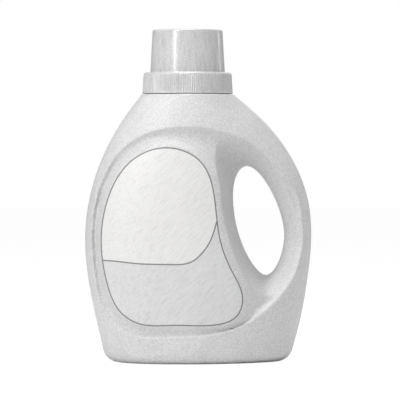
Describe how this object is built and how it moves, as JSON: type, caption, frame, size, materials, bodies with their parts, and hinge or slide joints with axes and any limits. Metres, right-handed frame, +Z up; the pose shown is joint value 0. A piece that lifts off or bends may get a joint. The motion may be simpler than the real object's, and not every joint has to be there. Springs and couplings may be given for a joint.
{
  "type": "laundry detergent bottle",
  "caption": "Blow-moulded laundry detergent bottle with a side handle, drain-back pour spout, screw-on measuring cap and plain front and back labels.",
  "frame": {"origin": "under the middle of the body's width and depth, on the plane it stands on", "axes": "+Z up along the neck, -Y out of the front label, +X towards the handle"},
  "size_m": [0.1912, 0.111, 0.28],
  "materials": {
    "bottle_plastic": "satin blow-moulded polyethylene, fine grain",
    "spout_plastic": "natural moulded polyethylene",
    "cap_plastic": "semi-gloss moulded polypropylene",
    "seal_foam": "closed-cell foam ring",
    "label_film": "matt printed film in two plain fields"
  },
  "bodies": {
    "bottle": {"bottle": "bottle_plastic", "pour_spout": "spout_plastic", "front_label": "label_film", "back_label": "label_film"},
    "cap_seal": {"cap_seal": "seal_foam"},
    "cap": {"dosing_cap": "cap_plastic"}
  },
  "joints": [
    {"name": "cap_lift", "type": "slide", "parent": "bottle", "child": "cap_seal", "axis": [0, 0, 1], "range_m": [0, 0.0602]},
    {"name": "cap_turn", "type": "hinge", "parent": "cap_seal", "child": "cap", "pos_m": [-0.009, 0, 0.226], "axis": [0, 0, 1], "range_deg": [0, 1800]}
  ],
  "couplings": [
    {"joint": "cap_lift", "follows": "cap_turn", "m_per_rad": 0.0019099}
  ]
}
